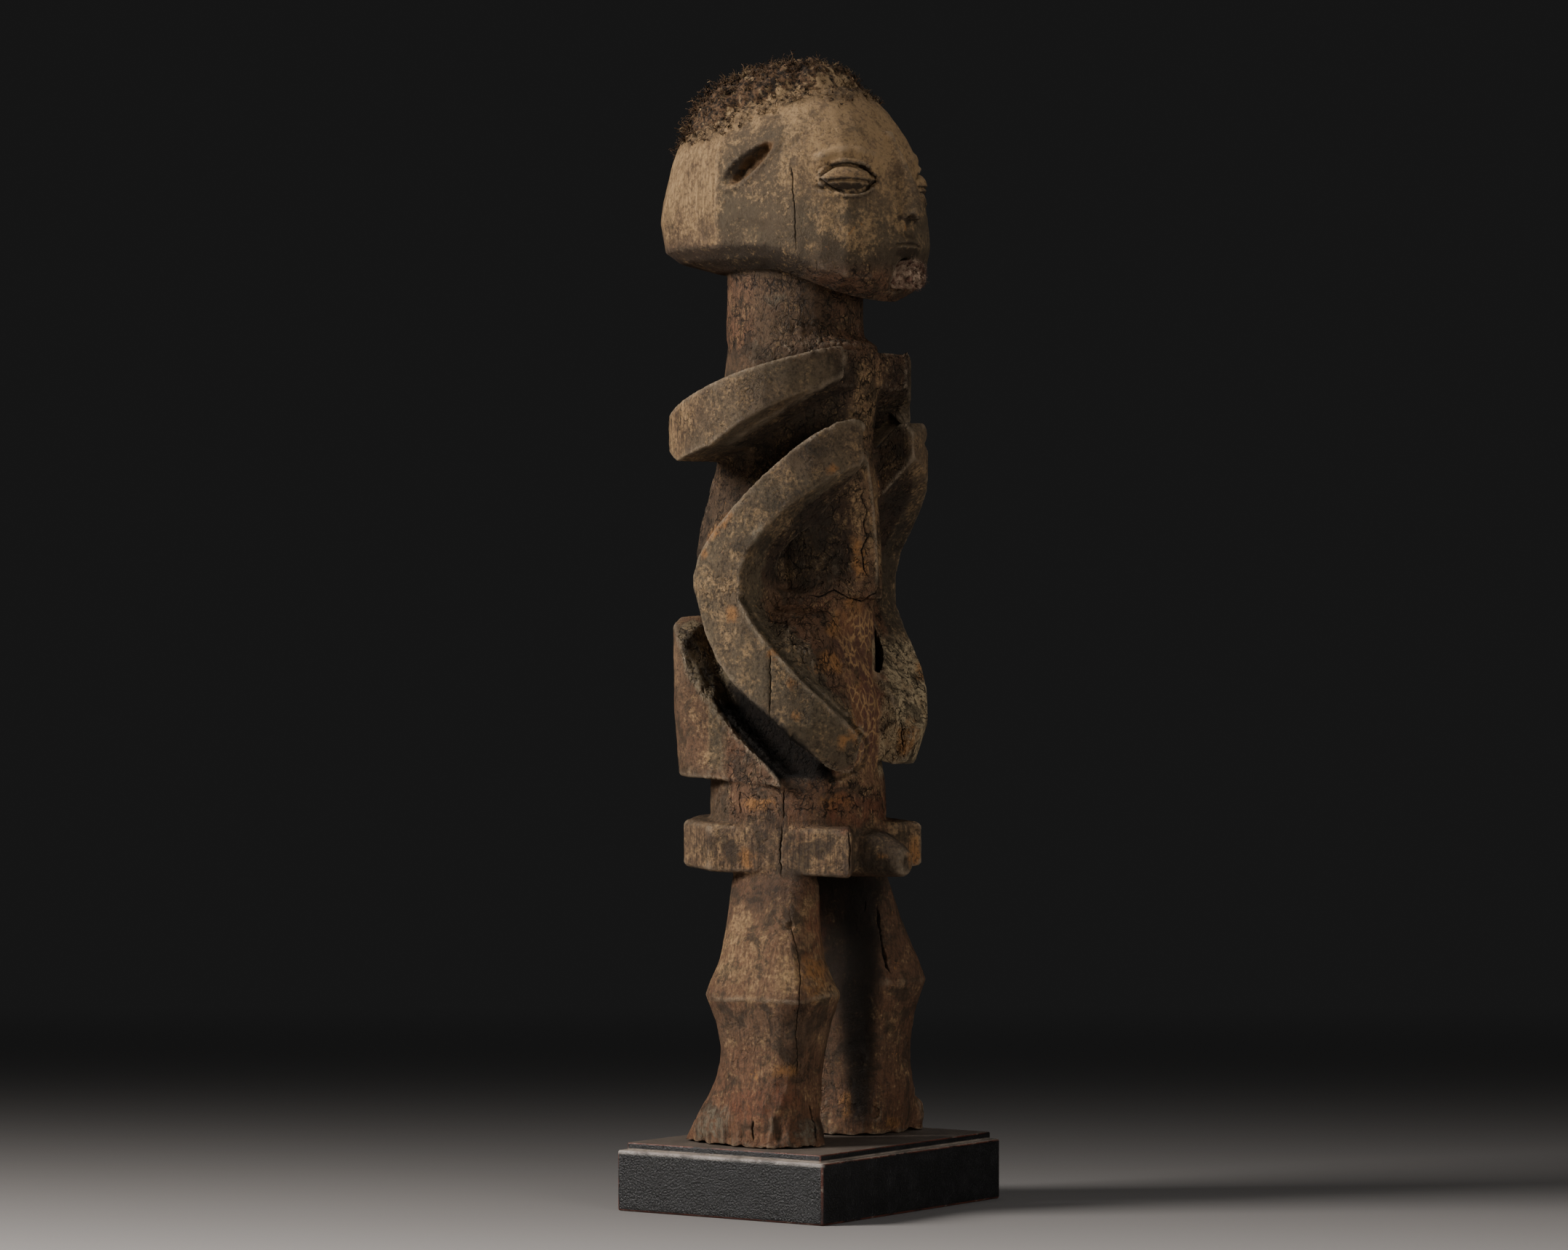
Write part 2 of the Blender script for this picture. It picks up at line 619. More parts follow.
def recess(wanted):
    """How shut in each wanted point is, from 0 in the open to 1 in a deep hollow, found on a coarse copy."""
    coarse = copy_of("figure", "Coarse")
    mesh = remeshed(coarse, COARSE_CELL)
    points, tree = points_of(mesh), tree_of(mesh)
    rays = np.random.default_rng(7).normal(size=(RAY_COUNT, 3))
    rays /= np.linalg.norm(rays, axis=1)[:, None]
    shut = np.zeros(len(points))
    for i, (point, normal) in enumerate(zip(points, normals_of(mesh))):
        start = Vector(point + normal * 2 * MM)
        for ray in rays:
            way = ray if ray @ normal > 0 else -ray
            shut[i] += tree.ray_cast(start, Vector(way), LONGEST_RAY)[0] is not None
    shut = blurred(shut / RAY_COUNT, edges_of(mesh), 2)
    bpy.data.objects.remove(coarse)
    return nearest_values(points, shut, wanted)


def nearest_values(points, values, wanted):
    """The values of the nearest of some points for each wanted point."""
    tree = KDTree(len(points))
    for i, point in enumerate(points):
        tree.insert(point, i)
    tree.balance()
    return values[[tree.find(point)[1] for point in wanted]]


# Ends that the carver left well rounded: middle and reach in millimetres.
BLUNT_ENDS = [((-28, -53, 404), 8), ((-27, -55, 241), 7), ((22, -55, 406), 12), ((27, -54, 240), 11),
              ((-38, -18, 327), 17), ((-26, -34, 326), 14), ((-12, -40, 324), 9)]

# Arm ends drawn in to a half circle: its middle rightward and up, its radius, its way, and its side.
ROUND_TIPS = [((20.3, 405.7), 10.4, (0.79, 0.61), -1), ((54.5, 409.5), 7.5, (0.7, 0.7), 1)]


def round_tips(points):
    """Draws the wood beyond each arm's end in to a half circle."""
    across, up, fore = seen(points)
    moved = points.copy()
    for (u, z), radius, (du, dz), side in ROUND_TIPS:
        off_u, off_z = across - u, up - z
        far = np.hypot(off_u, off_z)
        here = (off_u * du + off_z * dz > 0) & (far > radius) & (far < radius + 9) & (points[:, 0] * side > 0)
        weight = here * (step(38, 45, fore) if side < 0 else 1.0)
        pull = weight * (radius / np.maximum(far, 1) - 1) * MM
        moved += (off_u * pull)[:, None] * RIGHTWARD
        moved[:, 2] += off_z * pull
    return moved


def soften(mesh):
    """Rounds off the facets and the small steps of a net, but keeps its sharp edges crisp."""
    edges = edges_of(mesh)
    normals = normals_of(mesh)
    mean = blurred(normals, edges, 3)
    agree = np.sum(normals * mean, axis=1) / np.linalg.norm(mean, axis=1)
    share = (0.1 + 0.9 * step(0.88, 0.975, agree))[:, None]
    points = points_of(mesh)
    for _ in range(SOFTENING_ROUNDS):
        # Pulled in and then pushed out again, so that nothing shrinks.
        smooth = blurred(blurred(points, edges, 1), edges, 1, -0.52)
        points = points + share * (smooth - points)
    points = points + 0.5 * (blurred(points, edges, 1) - points)
    points = round_tips(points)
    points = points + 0.5 * (blurred(points, edges, 2) - points)
    blunt = np.zeros(len(points))
    for middle, reach in BLUNT_ENDS:
        blunt = np.maximum(blunt, step(reach, 0.5 * reach, np.linalg.norm(points / MM - middle, axis=1)))
    place_points(mesh, points + blunt[:, None] * (blurred(points, edges, 40) - points))


def make_figure():
    piece = copy_of("figure", "carved_figure")
    mesh = remeshed(piece, FIGURE_CELL)
    soften(mesh)
    refine_for_detail(mesh)
    skin = Skin(mesh)
    cut = crack_depth(skin)
    points = skin.points + skin.normals * ((carved_relief(skin) - cut) * MM)[:, None]
    place_points(mesh, points)
    edges, normals = edges_of(mesh), normals_of(mesh)
    sharp, wide = [np.sum(normals * (points - blurred(points, edges, rounds)), axis=1) / MM
                   for rounds in (8, 40)]
    thinned(piece, FIGURE_TRIANGLES)
    skin = Skin(piece.data)
    marks = nearest_values(points, np.stack([sharp, wide, cut], axis=1), skin.points)
    paint_figure(piece.data, skin, *marks.T)
    dress(piece, "figure", wood_material())


def paint_figure(mesh, skin, sharp, wide, cut):
    """Keeps on the figure's points where each part of the patina lies, from 0 to 1."""
    p = skin.p
    x, y, z = p.T
    out, side = np.hypot(x, y), np.abs(x)
    cloud = noise(p, 26, 81, 3)

    head = step(488, 500, z)
    back_facet = head * step(20, 25, y)
    jaw = head * step(-0.05, -0.4, skin.normals[:, 2])
    crown = head * np.maximum(step(564, 586, z), step(-16, -40, y) * step(520, 556, z))
    temple = head * (1 - back_facet) * (1 - crown)
    cheek = head * step(-10, -40, y) * (1 - crown)
    above = above_hair_line(p)
    near_hair = head * step(-14, -2, above + 6 * noise(p, 7, 205, 2))
    hair_root = head * step(-13, 0, above + 7 * noise(p, 6, 217, 3) + 3 * noise(p, 1.8, 219))
    neck = between(z, 452, 496, 6)
    neck_middle = neck * step(16, 8, y) * step(-27, -19, y)
    collar = between(z, 385, 450, 6) * (out > 52)
    collar_back = collar * step(14, 34, y)

    arms = between(z, 232, 416, 4) * (out > 54) * (y < 32) * (1 - collar)
    left_arm = arms * (x > 0)
    far_hand = between(z, 230, 300, 5) * step(12.5, 14.5, x) * step(-10, -20, y)
    left_hand = np.maximum(left_arm * step(305, 280, z), far_hand)
    chest = between(z, 330, 450, 8) * (out < 54) * (y < 10)
    keel_strip = chest * step(15, 10, side)
    flank = between(z, 326, 400, 8) * (y > -4) * (out < 63) * (1 - arms)
    belly = between(z, 204, 326, 8) * (out < 58) * (y < 20) * (1 - far_hand)
    under_arm = step(14, 30, side)
    wedge = between(z, 232, 330, 4) * (out > 52) * (y > 30)
    wedge_inside = between(z, 268, 312, 4) * (x < -28) * (y > 16) * step(0.0, -0.3, skin.normals[:, 1])
    pit = in_pit(skin)
    slope = np.maximum(pit * step(270, 284, z), wedge_inside * (1 - arms))

    thigh = between(z, 112, 164, 8)
    right_thigh = thigh * (x < 0)
    legs = step(182, 170, z)
    left_leg = legs * (x > 0)
    shin_top = legs * (x < 0) * between(z, 86, 110, 5)
    ring = between(z, 177, 206, 2) * (1 - legs)
    phallus = step(-38, -43, y) * between(z, 168, 204, 2) * step(17, 14, side)
    middle = np.interp(z, [45, 90, 110, 165], [25.5, 26, 24.5, 27])
    half = np.interp(z, [45, 90, 110, 165], [2.5, 5, 9, 9])
    off_middle = np.abs(skin.across - middle + 3 * noise(p, 14, 121, 2))
    strip = step(half + 7, half - 3, off_middle) * step(38, 52, z)
    between_legs = left_leg * np.maximum(strip, 0.7 * step(32, 23, skin.across) * step(100, 122, z))

    crease = np.maximum(step(-0.12, -0.6, sharp) * 0.5, 0.9 * beside_forearm(skin))
    open_wood = np.maximum(np.maximum(0.8 * belly, 0.95 * left_hand), 0.9 * slope)
    shares = {
        "edge": np.maximum(step(0.12, 0.45, sharp) * 0.6 + step(0.5, 1.6, wide) * 0.4, 0.9 * worn_edge(skin)),
        "hollow": np.maximum(crease, recess(skin.points) * (1 - open_wood)),
        "crack": step(0.25, 0.8, cut),
        "pale": 0.08 + 0.5 * back_facet + 0.75 * crown + 0.1 * cheek + 0.5 * right_thigh + 0.55 * collar_back
        + 0.2 * wedge + 0.3 * ring + left_hand + 0.15 * arms + 0.4 * belly + 0.5 * keel_strip + 0.15 * head
        + 0.5 * near_hair - 0.6 * between_legs + 0.5 * cloud * (1 - 0.4 * arms) - 0.7 * jaw
        - 0.5 * under_arm * belly - 0.3 * neck_middle - 0.6 * phallus,
        "warm": 0.12 + 0.5 * phallus + 0.7 * neck - 0.2 * neck_middle + 0.65 * belly + 0.4 * chest
        + 0.5 * legs + 0.3 * step(80, 50, z) + 0.3 * ring + 0.35 * wedge + 0.4 * cloud - 0.2 * head,
        "olive": 0.1 + 0.65 * temple + 0.8 * arms + 0.5 * (collar - collar_back) + 0.5 * phallus
        + 0.3 * neck_middle - 0.5 * legs + 0.7 * shin_top + 1.3 * slope + 0.2 * ring
        + 0.3 * noise(p, 20, 91, 2),
        "shade": 0.9 * chest * (1 - keel_strip) + 0.55 * left_arm * (1 - left_hand) + 0.3 * left_leg
        + 0.2 * arms + 0.15 * neck * (y < 0) + 0.9 * jaw + 0.3 * temple + 0.15 * ring * (y < -5) + 0.3 * flank
        + belly * (0.7 * under_arm - 0.6) + 0.15 * neck_middle + 1.1 * between_legs + 0.45 * phallus
        + 0.2 * noise(p, 16, 95, 3),
        "crackle": (0.8 * belly + 0.8 * chest + 1.2 * neck - 0.5 * neck_middle + 0.8 * flank + 0.8 * slope
                    + 0.9 * left_hand + 0.1 * arms + 0.8 * noise(p, 18, 101, 3))
        * (1 - 0.7 * thigh) * (1 - 0.6 * head) * (1 - 0.5 * ring),
        "lace": belly * step(30, 20, side) * between(z, 232, 316, 8) * step(-0.5, 0.1, noise(p, 14, 105, 2)),
        "fine": 0.9 * head + 0.7 * right_thigh + 0.5 * legs + 0.9 * belly + 0.5 * chest + 0.5 * left_hand,
        "even": 0.85 * head + 0.75 * arms * (1 - left_hand) + 0.6 * collar + 0.4 * neck_middle,
        "pit": pit - slope + 0.85 * between_legs,
        "bleached": left_hand + 0.3 * slope,
        "root": hair_root,
        "grain": (0.8 * ring + 0.6 * legs + 0.9 * collar_back + 0.5 * neck + 0.3 * belly + 0.4 * back_facet
                  + 0.1 + 0.3 * cloud) * (1 - 0.7 * neck_middle),
    }
    for kind in SPOTS:
        shares[kind] = spots(skin, kind)
    shares["ochre"] = np.maximum(shares["ochre"], 0.35 * head * step(1.1, 0.8, ear_place(p)))
    for name, values in shares.items():
        keep(mesh, name, np.clip(values, 0, 1))


def wood_material():
    s = Shader("carved_wood")
    times, plus, ramp, kept = s.times, s.plus, s.ramp, s.kept
    names = "edge hollow even grain lace pale shade pit"
    edge, hollow, even, grain, lace, pale, shade, pit = map(kept, names.split())
    block_place = s.stretched(along=0.7)
    grit = s.noise(0.0021, 5, 0.75)
    fibre = s.noise(0.0015, 4, 0.6, s.stretched(along=0.1))
    patch = s.noise(0.009, 6, 0.68)
    blotch = s.noise(0.014, 7, 0.74, twist=0.5)
    speck = s.noise(0.0032, 6, 0.75, twist=0.4)
    cloud = s.noise(0.012, 4, 0.65)

    crust = plus(times(speck, 0.5), times(cloud, 0.6), times(pale, 0.45))
    flecks = plus(grit, times(cloud, 0.6), times(pale, 0.2))
    dark = plus(blotch, times(grit, 0.25), times(even, -0.065))
    deposit = times(ramp(dark, 0.63, 0.71, 0.0, 0.75), ramp(even, 0, 1, 1.0, 0.6))
    ochre = s.maths("MAXIMUM", ramp(s.noise(0.01, 7, 0.7, block_place, 0.8), 0.655, 0.69),
                    times(kept("ochre"), ramp(patch, 0.38, 0.5)))
    grime = times(ramp(grit, 0.36, 0.5, 0.75, 0.0), s.rest(times(kept("fine"), 0.65)))
    woven = s.cracks(0.0044, s.wobbled(block_place, 0.004, 0.0022))
    woven = times(ramp(plus(woven, times(grit, 0.35)), 0.21, 0.31, 1, 0), ramp(cloud, 0.38, 0.54))
    broken = times(times(kept("crackle"), s.rest(lace)), ramp(s.noise(0.006, 3, 0.6), 0.42, 0.56))
    ragged = s.wobbled(block_place, 0.0055, 0.0052)
    net = times(ramp(s.cracks(0.0052, ragged), 0.015, 0.065, 1, 0), broken)
    fine_net = times(ramp(s.cracks(0.0022, ragged), 0.03, 0.12, 0.7, 0.0), broken)

    brown = s.mix(ramp(s.noise(0.035, 4, 0.6), 0.32, 0.68), (0.112, 0.066, 0.038), (0.195, 0.12, 0.07))
    colour = s.layered(brown, [
        (times(kept("warm"), 0.85), (0.235, 0.105, 0.054)),
        (times(kept("olive"), 0.85), (0.156, 0.122, 0.074)),
        (times(shade, 0.8), (0.03, 0.02, 0.014)),
        (ramp(crust, 0.58, 1.12, 0, 0.7), (0.385, 0.245, 0.125)),
        (ramp(flecks, 0.85, 1.06, 0, 0.7), (0.5, 0.32, 0.155)),
        (times(kept("bleached"), ramp(patch, 0.32, 0.54, 0.4, 0.9)), (0.6, 0.46, 0.27)),
        (deposit, (0.046, 0.033, 0.021)),
        (times(ochre, 0.8), (0.44, 0.205, 0.07)),
        (times(kept("red"), ramp(patch, 0.36, 0.6, 0.1, 0.65)), (0.23, 0.078, 0.04)),
        (times(kept("dark"), ramp(patch, 0.3, 0.6, 0.75, 0.3)), (0.026, 0.022, 0.017)),
        (times(kept("grey"), ramp(speck, 0.4, 0.6, 0.1, 0.85)), (0.235, 0.205, 0.145)),
        (times(ramp(fibre, 0.36, 0.56, 0.75, 0.0), grain), (0.046, 0.028, 0.019)),
        (grime, (0.04, 0.028, 0.019)),
        (times(lace, 0.65), (0.145, 0.064, 0.045)),
        (times(times(lace, woven), 0.9), (0.5, 0.29, 0.13)),
        (times(net, 0.9), (0.015, 0.01, 0.007)),
        (fine_net, (0.036, 0.022, 0.016)),
        (times(edge, ramp(speck, 0.35, 0.6, 0.9, 0.4)), (0.38, 0.29, 0.195)),
        (times(hollow, 0.7), (0.028, 0.024, 0.013)),
        (times(pit, 0.97), (0.005, 0.004, 0.003)),
        (times(kept("root"), ramp(speck, 0.38, 0.58, 0.95, 0.25)), (0.04, 0.025, 0.015)),
        (kept("crack"), (0.008, 0.005, 0.004)),
    ])

    roughness = ramp(s.maths("SUBTRACT", edge, times(hollow, 0.5)), -0.3, 0.8, 0.68, 0.3)
    roughness = s.maths("MAXIMUM", plus(roughness, times(shade, 0.25)), pit)
    groove = plus(net, times(fine_net, 0.5))
    normal = s.bump(times(fibre, grain), 0.0007, strength=0.6)
    normal = s.bump(grit, 0.002, normal)
    normal = s.bump(speck, 0.0022, normal)
    normal = s.bump(patch, 0.002, normal, 0.6)
    normal = s.bump(times(groove, -1.0), 0.002, normal)
    return s.finish(colour, roughness, normal, 0.24)


# Hair cap and beard plug

HAIR_CELL = 1.3 * MM
LOCK_COUNT, FRINGE_COUNT = ((1350, 680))
STUB_COUNT = 420
TUFT_FIBRES, FIBRE_PIECES, FIBRE_TAPER = 3, 5, 0.82
ABOUT_A_TURN = 6.28


def tuft(name, seed, length, thick, spread, curl):
    """A bunch of curly fibres that grow up from one root, each tapering to its tip."""
    rng = random.Random(seed)
    form = bmesh.new()
    for _ in range(TUFT_FIBRES):
        reach = length * rng.uniform(0.55, 1.15)
        lean = Vector((rng.gauss(0, spread), rng.gauss(0, spread), 0.8)) * reach
        start, turns = rng.uniform(0, 2 * math.pi), rng.uniform(3, 7) * rng.choice((-1, 1))
        path = []
        for i in range(FIBRE_PIECES + 1):
            t = i / FIBRE_PIECES
            swing = Vector((math.cos(start + turns * t), math.sin(start + turns * t), 0)) * curl * t
            path.append(lean * t + swing)
        tip = bmesh.ops.create_circle(form, cap_ends=True, segments=3, radius=thick)["verts"]
        for before, after in zip(path, path[1:]):
            face = [f for f in tip[0].link_faces if set(f.verts) == set(tip)]
            grown = bmesh.ops.extrude_face_region(form, geom=face)["geom"]
            bmesh.ops.delete(form, geom=face, context="FACES")
            tip = [g for g in grown if isinstance(g, bmesh.types.BMVert)]
            bmesh.ops.translate(form, verts=tip, vec=after - before)
            bmesh.ops.scale(form, verts=tip, vec=(FIBRE_TAPER,) * 3, space=Matrix.Translation(-after))
    bmesh.ops.holes_fill(form, edges=form.edges, sides=3)
    bmesh.ops.recalc_face_normals(form, faces=form.faces)
    return mesh_from(form, name)


def planted(name, tufts, roots, ways, sizes):
    """One mesh of many tufts, each standing on its root and leaning its way."""
    form = bmesh.new()
    for i, (root, way, size) in enumerate(zip(roots, ways, sizes)):
        copy = tufts[i % len(tufts)].copy()
        turn = Vector(way).to_track_quat("Z", "Y").to_matrix().to_4x4()
        spin = Matrix.Rotation(random.uniform(0, ABOUT_A_TURN), 4, "Z")
        copy.transform(Matrix.Translation(root) @ turn @ spin @ Matrix.Scale(size, 4))
        form.from_mesh(copy)
        bpy.data.meshes.remove(copy)
    return placed(name, mesh_from(form, name))


def scattered(mesh, count, rng, allowed):
    """Random places on a mesh's faces, spread by area, with their normals, where allowed says so."""
    faces = mesh.polygons
    centres, normals = read(faces, "center"), read(faces, "normal")
    weight = read(faces, "area", 1)[:, 0] * allowed(centres, normals)
    chosen = rng.choice(len(faces), size=count, p=weight / weight.sum())
    return centres[chosen] + rng.normal(scale=0.4 * MM, size=(count, 3)), normals[chosen]


def above_hair_line(p):
    """How far points lie above the hair's lower edge, in millimetres."""
    return p[:, 2] - np.interp(p[:, 1], [-70, -35, -15, 3, 30, 110], [597, 593, 589, 583, 571, 564])


def forehead(p):
    return step(-22, -50, p[:, 1])


def dusted(p):
    """How much dust lies on the hair, most of all in front."""
    front = step(15, -35, p[:, 1])
    return np.clip(0.45 * front + 0.6 * noise(p, 7, 207, 2) + 0.7 * noise(p, 2.2, 213), 0, 1)


def make_mat(material):
    """A clumped mat that sinks into the skin along the hair's lower edge."""
    mat = copy_of("hair_cap", "hair_mat")
    mesh = remeshed(mat, HAIR_CELL)
    bare = copy_of("figure", "Bare")
    tree = tree_of(bare.data)
    bpy.data.objects.remove(bare)
    points = points_of(mesh)
    skin = np.array([tree.find_nearest(Vector(point))[0] for point in points])
    p = points / MM
    full = step(2, 15, above_hair_line(p) - 6 * forehead(p) + 4 * noise(p, 9, 205, 2))
    near = cells(p + 2.5 * noise(p, 6, 209)[:, None], 6.5, 201)[0]
    clumps = 5.0 * (0.45 - near) + 2.6 * noise(p, 3.0, 203, 2)
    gap = np.linalg.norm(points - skin, axis=1)
    thick = gap * np.clip(full * (0.78 + 0.09 * clumps), 0, 1) - 1.4 * MM * (1 - full)
    place_points(mesh, skin + (points - skin) * (thick / np.maximum(gap, 0.2 * MM))[:, None])
    keep(mesh, "age", dusted(p) + 0.4 * (1 - full) * (1 - forehead(p)))
    dress(mat, "hair_cap", material)
    return mat.data


def make_curls(mat, head, material):
    """Locks all over the mat, and small tufts on the skin along its lower edge."""
    rng = np.random.default_rng(23)
    middle = np.array([0, 6, 535]) * MM
    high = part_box("hair_cap")[1][2]

    def on_mat(places, ways):
        out = places - middle
        facing = np.sum(ways * out, axis=1) / np.linalg.norm(out, axis=1)
        above = above_hair_line(places / MM) - 6 * forehead(places / MM)
        return step(0.2, 0.6, facing) * step(-3, 2, above)

    def at_edge(places, ways):
        above = above_hair_line(places / MM) + 4 * noise(places / MM, 8, 215, 2)
        return between(above, -8, 9, 2) * (places[:, 2] > 540 * MM) * (np.abs(ways[:, 2]) < 0.95)

    roots, ways = scattered(mat, LOCK_COUNT, rng, on_mat)
    ways = ways + rng.normal(scale=0.7, size=ways.shape)
    room = np.clip((high - roots[:, 2]) / (6 * MM) + 0.4, 0.4, 1)
    low = step(20, 2, above_hair_line(roots / MM))
    clumps = 0.75 + 0.6 * noise(roots / MM, 7, 211)
    nape = step(38, 56, roots[:, 1] / MM)
    sizes = rng.uniform(0.5, 1.1, LOCK_COUNT) * room * (1 - 0.45 * low * (1 - nape)) * clumps
    sizes = sizes * (1 + 0.4 * nape)
    locks = [tuft(f"lock_{n}", n, 5.4 * MM, 0.48 * MM, spread=0.42, curl=2 * MM) for n in range(10)]

    low_roots, low_ways = scattered(head, FRINGE_COUNT, rng, at_edge)
    low_ways = low_ways + rng.normal(scale=0.9, size=low_ways.shape)
    roots, ways = np.vstack([roots, low_roots]), np.vstack([ways, low_ways])
    sizes = np.concatenate([sizes, rng.uniform(0.3, 0.85, FRINGE_COUNT)])
    curls = planted("hair_curls", locks, roots, ways, sizes)
    keep(curls.data, "age", dusted(points_of(curls.data) / MM))
    dress(curls, "hair_cap", material)


def make_hair():
    fibre = fibre_material("hair", (0.012, 0.008, 0.005), (0.1, 0.056, 0.029), (0.33, 0.222, 0.118))
    make_curls(make_mat(fibre), bpy.data.objects["carved_figure"].data, fibre)


def fibre_material(name, dark, mid, pale):
    s = Shader(name)
    dust = s.plus(s.times(s.noise(0.002, 4, 0.7), 0.8), s.times(s.kept("age"), 0.45))
    colour = s.mix(s.ramp(s.noise(0.003, 4, 0.7), 0.42, 0.6), dark, mid)
    colour = s.mix(s.ramp(dust, 0.52, 0.82, 0.0, 0.85), colour, pale)
    normal = s.bump(s.noise(0.0009, 4, 0.7), 0.0006)
    return s.finish(colour, s.ramp(s.noise(0.004), 0.3, 0.7, 0.85, 0.6), normal, 0.14)


def make_beard():
    low, high = [Vector(corner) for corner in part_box("beard_plug")]
    centre = np.array((low + high) / 2)
    radius, length = (high.x - low.x) / 2, high.y - low.y
    fibre = fibre_material("beard", (0.05, 0.026, 0.018), (0.19, 0.105, 0.075), (0.43, 0.31, 0.215))
    make_beard_core(centre, radius, length, fibre)

    rng = np.random.default_rng(31)
    turn, out = rng.uniform(0, 2 * math.pi, STUB_COUNT), np.sqrt(rng.uniform(0.1, 1, STUB_COUNT))
    rim = np.stack([np.cos(turn), np.zeros(STUB_COUNT), np.sin(turn)], axis=1)
    on_side = (rng.uniform(size=STUB_COUNT) < 0.45)[:, None]
    forward = np.array([0, -1, 0])
    back = rng.uniform(0.1, 0.46, STUB_COUNT)[:, None] * length
    roots = centre + np.where(
        on_side,
        rim * (radius - 0.9 * MM) + forward * back,
        rim * (out * (radius - 1.2 * MM))[:, None] + forward * (0.46 * length),
    )
    ways = np.where(on_side, rim + 0.7 * forward, 0.35 * rim + forward)
    ways = ways + rng.normal(scale=0.3, size=ways.shape)
    stubs = [tuft(f"stub_{n}", 50 + n, 2.6 * MM, 0.17 * MM, spread=0.5, curl=0.5 * MM) for n in range(6)]
    fuzz = planted("beard_fuzz", stubs, roots, ways, rng.uniform(0.35, 0.9, STUB_COUNT))
    keep(fuzz.data, "age", np.clip(0.45 + 0.8 * noise(points_of(fuzz.data) / MM, 3, 307), 0, 1))
    dress(fuzz, "beard_plug", fibre)


def make_beard_core(centre, radius, length, material):
    """The bundle itself: a short round bar, ridged along its fibres."""
    form = bmesh.new()
    inner = radius * 0.93
    bmesh.ops.create_cone(form, cap_ends=True, segments=72, radius1=inner, radius2=inner, depth=length * 0.96)
    lengthwise = [e for e in form.edges if abs(e.verts[0].co.z - e.verts[1].co.z) > 1e-4]
    bmesh.ops.subdivide_edges(form, edges=lengthwise, cuts=8)
    caps = [f for f in form.faces if abs(f.normal.z) > 0.9]
    for _ in range(5):
        bmesh.ops.inset_region(form, faces=caps, thickness=radius * 0.16)
    bmesh.ops.rotate(form, verts=form.verts, matrix=Matrix.Rotation(math.pi / 2, 3, "X"))
    bmesh.ops.translate(form, verts=form.verts, vec=Vector(centre))
    core = placed("beard_core", mesh_from(form, "beard_core"))
    points, normals = points_of(core.data), normals_of(core.data)
    q = (points - centre) / MM
    ridges = 0.7 * noise(q, (1.4, 9, 1.4), 301, 2) + 0.3 * noise(q, 2, 305)
    keep(core.data, "age", np.clip(0.55 + 0.5 * noise(q, 3, 303), 0, 1))
    place_points(core.data, points + normals * ((ridges - 0.4) * MM)[:, None])
    dress(core, "beard_plug", material)


# Stepped block

STEP_INSET, STEP_HEIGHT, STEP_SUNK = 3.7 * MM, 3.9 * MM, 2 * MM


def add_slab(form, low, high, round_off, border):
    """A closed slab with rounded edges, and a border line inside each flat side."""
    made = bmesh.ops.create_cube(form, size=1)["verts"]
    bmesh.ops.scale(form, verts=made, vec=high - low)
    bmesh.ops.translate(form, verts=made, vec=(low + high) / 2)
    edges = list(dict.fromkeys(e for v in made for e in v.link_edges))
    rounded = bmesh.ops.bevel(form, geom=edges, offset=round_off, segments=4, affect="EDGES", profile=0.5,
                              material=-1)
    faces = dict.fromkeys(f for v in rounded["verts"] for f in v.link_faces)
    flat = [f for f in faces if f.calc_area() > 1e-4]
    bmesh.ops.inset_individual(form, faces=flat, thickness=border)


def make_plinth():
    low, high = [Vector(corner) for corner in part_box("plinth")]
    shelf = high.z - STEP_HEIGHT
    inset = Vector((STEP_INSET, STEP_INSET, 0))
    form = bmesh.new()
    add_slab(form, low, Vector((high.x, high.y, shelf)), 1.3 * MM, 2.4 * MM)
    add_slab(form, Vector((low.x, low.y, shelf - STEP_SUNK)) + inset, high - inset, 0.9 * MM, 1.6 * MM)
    bmesh.ops.recalc_face_normals(form, faces=form.faces)
    piece = placed("lacquered_block", mesh_from(form, "lacquered_block"))
    mesh = piece.data
    keep(mesh, "edge", (np.abs(normals_of(mesh)).max(axis=1) < 0.985).astype(float))
    keep(mesh, "top", (points_of(mesh)[:, 2] > high.z - 0.2 * MM).astype(float))
    dress(piece, "plinth", lacquer_material(low, shelf))


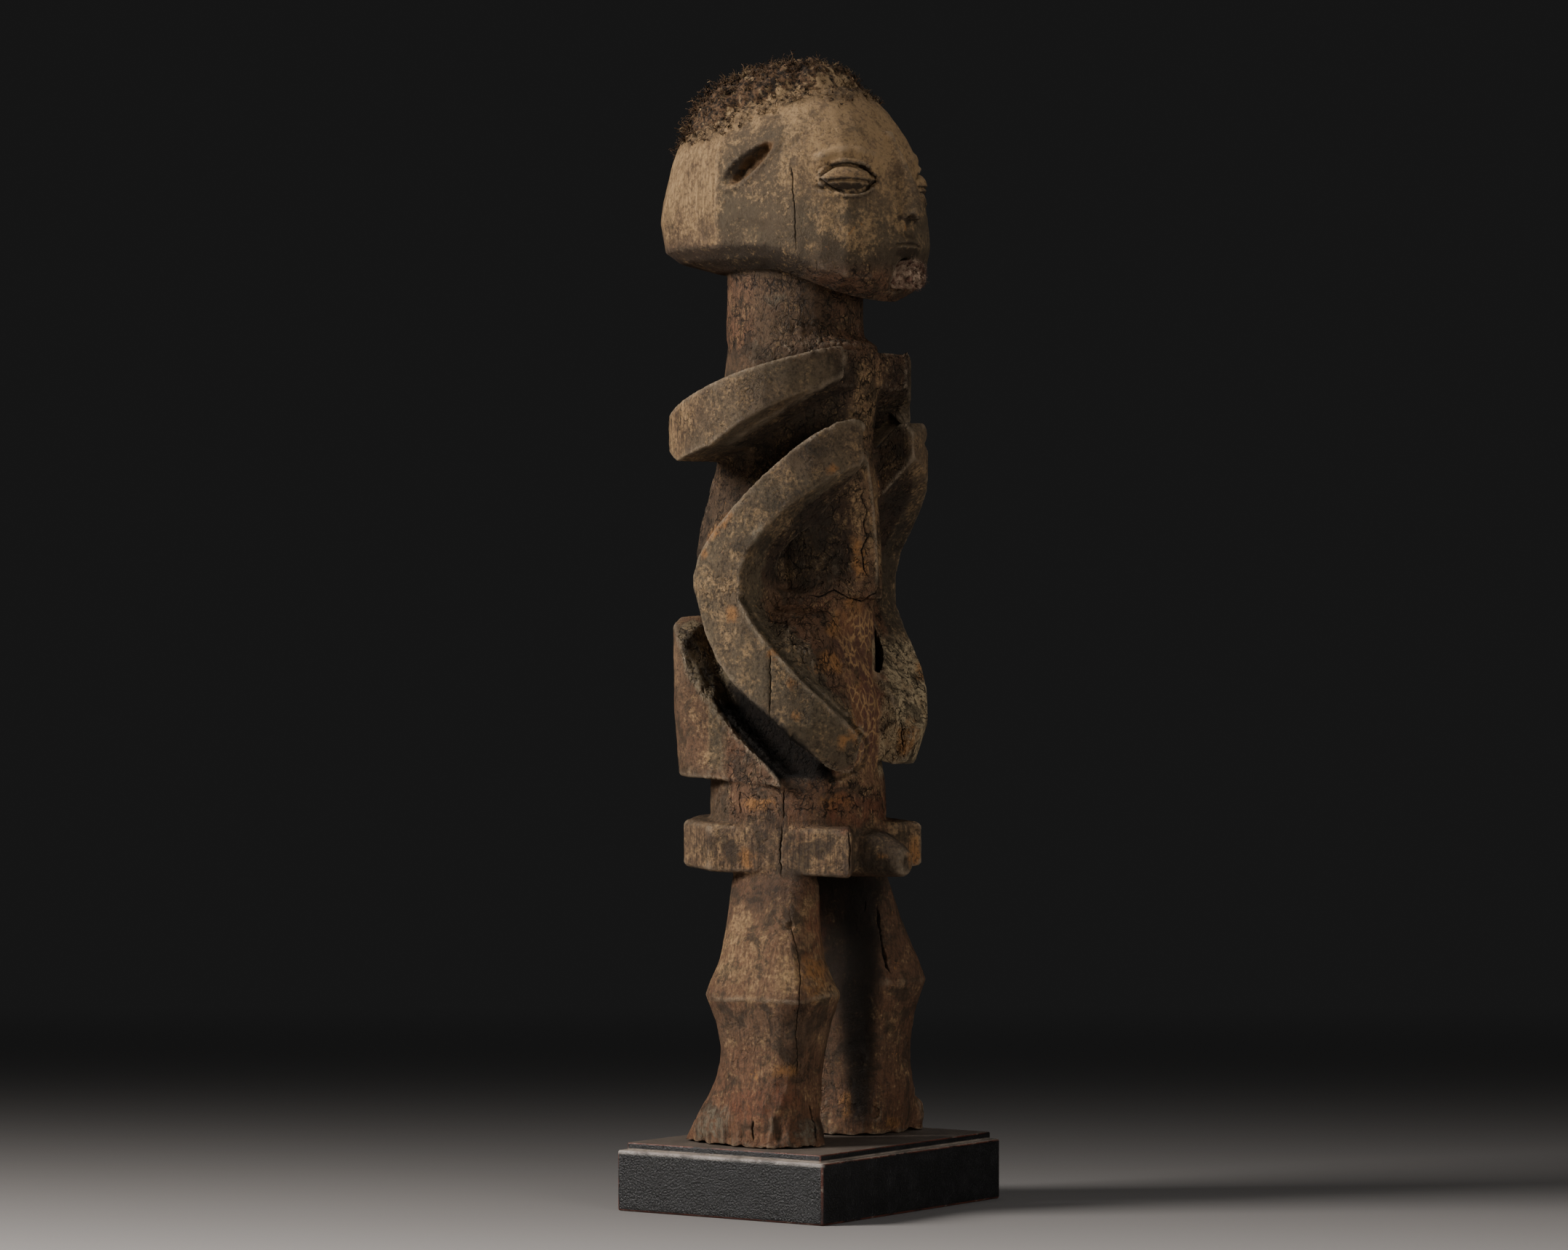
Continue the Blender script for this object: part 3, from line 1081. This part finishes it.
def lacquer_material(low, shelf):
    s = Shader("black_lacquer")
    times, ramp = s.times, s.ramp
    apart = s.node("ShaderNodeSeparateXYZ", {0: s.place})
    up = apart.outputs["Z"]
    scuff = s.noise(0.01, 5, 0.7)
    rub = s.noise(0.012, 4, 0.6)
    edge, top = s.kept("edge"), s.kept("top")
    worn = times(ramp(edge, 0.35, 0.95), ramp(rub, 0.32, 0.55))
    bare = times(ramp(edge, 0.6, 1.0), ramp(s.noise(0.005, 4, 0.7), 0.56, 0.66))
    dust = times(top, ramp(s.noise(0.022, 5, 0.65), 0.3, 0.7, 0.55, 0.95))
    lip = times(ramp(up, shelf - 0.0007, shelf - 0.0001), ramp(up, shelf + 0.0012, shelf + 0.0004))
    rim = times(ramp(up, shelf - 0.0026, shelf - 0.0012), ramp(up, shelf + 0.0002, shelf - 0.0002))
    rubbed = times(rim, ramp(apart.outputs["X"], low.x + 0.003, low.x + 0.0012))
    black = s.mix(ramp(scuff, 0.45, 0.7), (0.0055, 0.0053, 0.0055), (0.011, 0.0105, 0.011))
    colour = s.layered(black, [
        (times(worn, 0.8), (0.105, 0.028, 0.016)),
        (times(bare, 0.6), (0.25, 0.2, 0.16)),
        (dust, (0.115, 0.088, 0.068)),
        (times(lip, ramp(rub, 0.3, 0.6, 0.3, 0.7)), (0.33, 0.27, 0.22)),
        (times(rubbed, ramp(rub, 0.35, 0.6, 0.25, 0.8)), (0.3, 0.27, 0.245)),
    ])
    roughness = s.mix(top, ramp(scuff, 0.3, 0.7, 0.3, 0.42), ramp(scuff, 0.3, 0.7, 0.62, 0.75))
    normal = s.bump(s.noise(0.0011, 4, 0.62), 0.0006, strength=0.9)
    normal = s.bump(ramp(s.cracks(0.0012), 0.0, 0.25), 0.00012, normal, 0.5)
    normal = s.bump(s.noise(0.0007, 3, 0.6), 0.0001, normal, 0.5)
    return s.finish(colour, roughness, normal, 0.38)


# Floor

def make_floor():
    """A pale floor whose light dies away behind the object, into a dark backdrop."""
    form = bmesh.new()
    bmesh.ops.create_grid(form, x_segments=1, y_segments=1, size=30)
    floor = placed("Floor", mesh_from(form, "Floor"))
    s = Shader("floor")
    far = s.node("ShaderNodeVectorMath", {0: s.place, 1: tuple(FORWARD)}, operation="DOT_PRODUCT")
    fade = s.ramp(far.outputs["Value"], -0.3, 1.5, kind="LINEAR")
    colour = s.mix(s.maths("POWER", s.rest(fade), 4.0), (0, 0, 0), (0.352, 0.331, 0.32))
    s.fill(s.surface, {"Emission Color": (1, 1, 1), "Emission Strength": s.times(fade, BACKDROP_GLOW)})
    floor.data.materials.append(s.finish(colour, 0.9, s.bump(s.noise(0.004), 0.0001), 0.0))


make_camera()
make_studio()
make_floor()
make_figure()
make_hair()
make_beard()
make_plinth()
